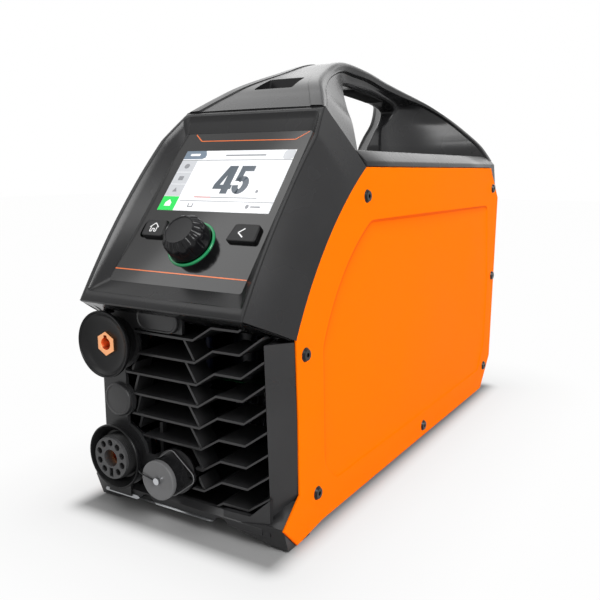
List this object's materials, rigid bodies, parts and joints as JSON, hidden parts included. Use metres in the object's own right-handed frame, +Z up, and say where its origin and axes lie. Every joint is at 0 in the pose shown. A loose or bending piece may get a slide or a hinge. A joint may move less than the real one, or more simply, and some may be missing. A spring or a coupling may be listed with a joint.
{
  "type": "plasma cutter unit",
  "caption": "Portable inverter plasma cutter in a handled case with a sloping control panel, knob, grille and front sockets.",
  "frame": {"origin": "on the ground, under the middle of the case's bounding box", "axes": "+Z up, -Y towards the operator's control panel, +X to the right seen from the rear, the side shown in the picture; the control panel faces -Y"},
  "size_m": [0.1878, 0.489, 0.359],
  "materials": {
    "charcoal_plastic": "fine textured",
    "black_plastic": "satin",
    "grey_plastic": "satin",
    "red_plastic": "gloss",
    "orange_paint": "powder coated",
    "black_glass": "gloss",
    "display": "gloss",
    "green_light": "translucent",
    "copper": "satin",
    "brass": "satin",
    "steel": "satin",
    "black_steel": "satin",
    "aluminium": "satin",
    "ferrite": "matt",
    "winding": "varnished",
    "circuit_board": "satin",
    "capacitor": "sleeved",
    "hose_blue": "satin",
    "rubber": "matt"
  },
  "bodies": {
    "case": {"front_bezel": "charcoal_plastic", "front_frame": "charcoal_plastic", "front_grille": "black_plastic", "top_cover": "charcoal_plastic", "handle_insert": "black_plastic", "handle_screws": "steel", "side_panel_right": "orange_paint", "side_panel_left": "orange_paint", "base_pan": "black_steel", "rubber_feet": "rubber", "rear_frame": "charcoal_plastic", "rear_panel": "black_steel", "display_glass": "black_glass", "display_module": "display", "control_board": "circuit_board", "encoder_body": "steel", "knob_light_ring": "green_light", "button_switches": "black_plastic", "earth_socket_body": "black_plastic", "earth_socket_contact": "copper", "earth_socket_nut": "steel", "torch_socket_ring": "charcoal_plastic", "torch_socket_insulator": "black_plastic", "torch_socket_contact": "copper", "torch_socket_pins": "copper", "torch_socket_nut": "steel", "signal_socket": "black_plastic", "round_blank_cap": "black_plastic", "oblong_blank_cap": "black_plastic", "fan_guard": "black_steel", "fan_frame": "black_plastic", "power_switch_body": "black_plastic", "cable_gland": "black_plastic", "cable_gland_nut": "black_plastic", "air_inlet": "brass", "heatsinks": "aluminium", "power_modules": "black_plastic", "board_posts": "steel", "main_board": "circuit_board", "bus_capacitors": "capacitor", "pfc_choke": "winding", "transformer_core": "ferrite", "transformer_winding": "winding", "output_choke": "winding", "air_regulator": "aluminium", "solenoid_valve": "black_plastic", "air_hoses": "hose_blue", "filter_board": "circuit_board", "side_screws_right": "black_steel", "side_screws_left": "black_steel", "fan_screws": "black_steel"},
    "encoder_spindle": {"encoder_shaft": "steel"},
    "knob": {"control_knob": "black_plastic"},
    "home": {"home_button": "black_plastic"},
    "back": {"back_button": "black_plastic"},
    "dust_cap": {"signal_cap": "grey_plastic", "signal_cap_screw": "steel", "signal_cap_tether": "grey_plastic"},
    "rocker": {"power_switch_rocker": "red_plastic"},
    "fan": {"fan_rotor": "black_plastic"}
  },
  "joints": [
    {"name": "knob_push", "type": "slide", "parent": "case", "child": "encoder_spindle", "axis": [0, 0.7604, -0.6494], "range_m": [0, 0.0006], "stiffness_N_per_m": 900, "springref_m": -0.003},
    {"name": "knob_turn", "type": "hinge", "parent": "encoder_spindle", "child": "knob", "pos_m": [0, -0.20369, 0.20946], "axis": [0, -0.7604, 0.6494], "continuous": true},
    {"name": "home_press", "type": "slide", "parent": "case", "child": "home", "axis": [0, 0.7604, -0.6494], "range_m": [0, 0.0006], "stiffness_N_per_m": 900, "springref_m": -0.001},
    {"name": "back_press", "type": "slide", "parent": "case", "child": "back", "axis": [0, 0.7604, -0.6494], "range_m": [0, 0.0006], "stiffness_N_per_m": 900, "springref_m": -0.001},
    {"name": "cap_off", "type": "slide", "parent": "case", "child": "dust_cap", "axis": [0, -1, 0], "range_m": [0, 0.025]},
    {"name": "switch_rock", "type": "hinge", "parent": "case", "child": "rocker", "pos_m": [-0.03, 0.2065, 0.205], "axis": [1, 0, 0], "range_deg": [0, 11.3]},
    {"name": "fan_spin", "type": "hinge", "parent": "case", "child": "fan", "pos_m": [0, 0.185, 0.082], "axis": [0, 1, 0], "continuous": true}
  ]
}
